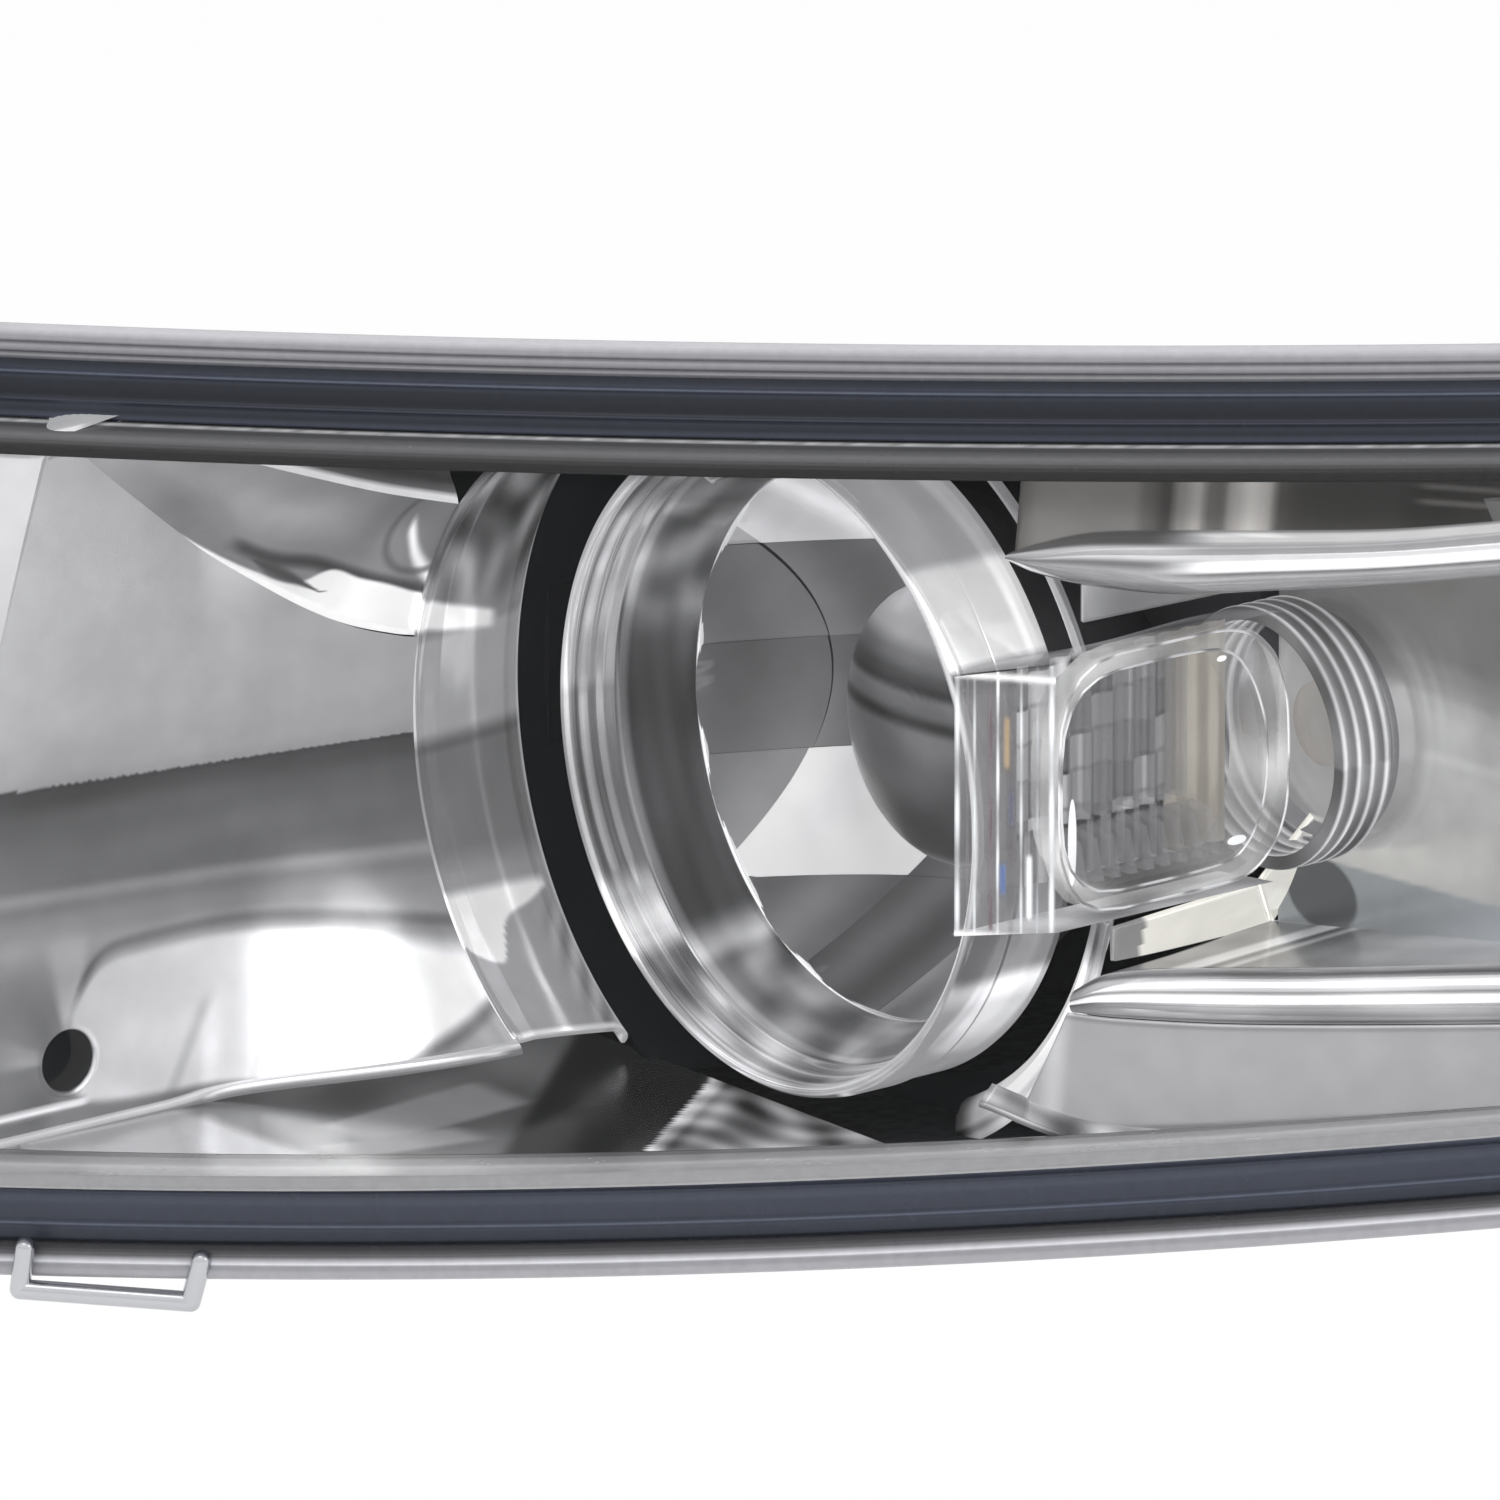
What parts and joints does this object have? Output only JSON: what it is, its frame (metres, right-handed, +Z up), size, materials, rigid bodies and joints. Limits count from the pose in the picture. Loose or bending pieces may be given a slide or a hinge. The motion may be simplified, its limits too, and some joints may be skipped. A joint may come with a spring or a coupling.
{
  "type": "car headlight assembly",
  "caption": "Left-hand car headlight: swept clear lens over chrome bezels, aimable round low-beam lamp, high beam, turn signal and rear adjusters.",
  "frame": {"origin": "centre of the hole in the upper inner mounting lug, at mid thickness", "axes": "+X outboard (the car's left), +Y to the rear of the car, +Z up; the lamps shine along -Y"},
  "size_m": [0.3766, 0.3276, 0.1796],
  "materials": {
    "clear_lens": "clear polished polycarbonate",
    "clear_optic": "clear moulded optic",
    "bulb_glass": "clear quartz",
    "amber_glass": "amber coated glass",
    "chrome": "vacuum metallised, polished",
    "ring_chrome": "vacuum metallised, polished",
    "reflector": "aluminised reflector",
    "housing_plastic": "moulded black, fine grain",
    "carrier_plastic": "moulded dark grey",
    "seal": "black sealant",
    "cap_plastic": "moulded black",
    "motor_plastic": "moulded black",
    "adjuster_plastic": "natural white nylon",
    "spring_steel": "bright spring steel",
    "steel": "zinc plated",
    "bulb_metal": "bulb base metal",
    "plug_plastic": "pale heat resistant plastic",
    "holder_plastic": "grey plastic",
    "brass": "tinned terminals"
  },
  "bodies": {
    "root": {"breather_vent": "cap_plastic", "connector_pins": "brass", "front_lens": "clear_lens", "high_bulb_base": "bulb_metal", "high_bulb_glass": "bulb_glass", "high_bulb_plug": "plug_plastic", "high_cap_seal": "seal", "high_carrier": "carrier_plastic", "high_reflector": "reflector", "high_ring": "ring_chrome", "high_tower": "housing_plastic", "horizontal_gearbox": "motor_plastic", "housing_shell": "housing_plastic", "inner_bezel": "chrome", "lens_bail": "spring_steel", "lens_clips": "spring_steel", "lens_seal": "seal", "leveller_motor": "motor_plastic", "low_cap_seal": "seal", "low_tower": "housing_plastic", "main_connector": "motor_plastic", "motor_screws": "steel", "mount_sleeves": "steel", "outer_bezel": "chrome", "parking_bulb": "bulb_glass", "parking_bulb_holder": "holder_plastic", "pivot_stud": "steel", "turn_collar": "clear_optic", "turn_optic": "clear_optic", "turn_reflector": "reflector"},
    "low_unit": {"low_ring": "ring_chrome", "low_barrel": "ring_chrome", "low_reflector": "reflector", "low_bulb_shield": "reflector", "low_bulb_glass": "bulb_glass", "low_bulb_base": "bulb_metal", "low_bulb_plug": "plug_plastic", "low_carrier": "carrier_plastic"},
    "aim_knuckle": {"pivot_socket": "adjuster_plastic"},
    "low_clip": {"low_bulb_clip": "spring_steel"},
    "high_clip": {"high_bulb_clip": "spring_steel"},
    "leveller": {"leveller_rod": "adjuster_plastic"},
    "horizontal": {"horizontal_rod": "adjuster_plastic"},
    "vertical_adjuster": {"vertical_knob": "adjuster_plastic"},
    "horizontal_adjuster": {"horizontal_knob": "adjuster_plastic"},
    "low_cover": {"low_cap": "cap_plastic"},
    "high_cover": {"high_cap": "cap_plastic"},
    "turn_socket": {"turn_bulb": "amber_glass", "turn_bulb_holder": "holder_plastic"}
  },
  "joints": [
    {"name": "aim_yaw", "type": "hinge", "parent": "root", "child": "aim_knuckle", "pos_m": [0.132, 0.132, -0.01], "axis": [0, 0, 1], "range_deg": [-1.5, 1.5]},
    {"name": "aim_pitch", "type": "hinge", "parent": "aim_knuckle", "child": "low_unit", "pos_m": [0.132, 0.132, -0.01], "axis": [1, 0, 0], "range_deg": [-1.5, 1.5]},
    {"name": "leveller_travel", "type": "slide", "parent": "root", "child": "leveller", "axis": [0, 1, 0], "range_m": [-0.0021, 0.0021]},
    {"name": "horizontal_travel", "type": "slide", "parent": "root", "child": "horizontal", "axis": [0, 1, 0], "range_m": [-0.0026, 0.0026]},
    {"name": "vertical_adjuster_turn", "type": "hinge", "parent": "root", "child": "vertical_adjuster", "pos_m": [0.132, 0.2, -0.084], "axis": [0, 1, 0], "range_deg": [-190, 190]},
    {"name": "horizontal_adjuster_turn", "type": "hinge", "parent": "root", "child": "horizontal_adjuster", "pos_m": [0.224, 0.185, -0.01], "axis": [0, 1, 0], "range_deg": [-190, 190]},
    {"name": "low_cap_twist", "type": "hinge", "parent": "root", "child": "low_cover", "pos_m": [0.182, 0.175, -0.038], "axis": [0, 1, 0], "range_deg": [0, 35]},
    {"name": "high_cap_twist", "type": "hinge", "parent": "root", "child": "high_cover", "pos_m": [0.07, 0.085, -0.036], "axis": [0, 1, 0], "range_deg": [0, 35]},
    {"name": "turn_holder_twist", "type": "hinge", "parent": "root", "child": "turn_socket", "pos_m": [0.248, 0.16, -0.027], "axis": [0, 1, 0], "range_deg": [0, 45]},
    {"name": "low_bulb_clip_swing", "type": "hinge", "parent": "low_unit", "child": "low_clip", "pos_m": [0.182, 0.1396, -0.055], "axis": [-1, 0, 0], "range_deg": [0, 36]},
    {"name": "high_bulb_clip_swing", "type": "hinge", "parent": "root", "child": "high_clip", "pos_m": [0.07, 0.0106, -0.053], "axis": [-1, 0, 0], "range_deg": [0, 36]}
  ],
  "couplings": [
    {"joint": "leveller_travel", "follows": "aim_pitch", "m_per_rad": 0.074},
    {"joint": "horizontal_travel", "follows": "aim_yaw", "m_per_rad": 0.092},
    {"joint": "vertical_adjuster_turn", "follows": "aim_pitch", "ratio": 120},
    {"joint": "horizontal_adjuster_turn", "follows": "aim_yaw", "ratio": 120}
  ]
}
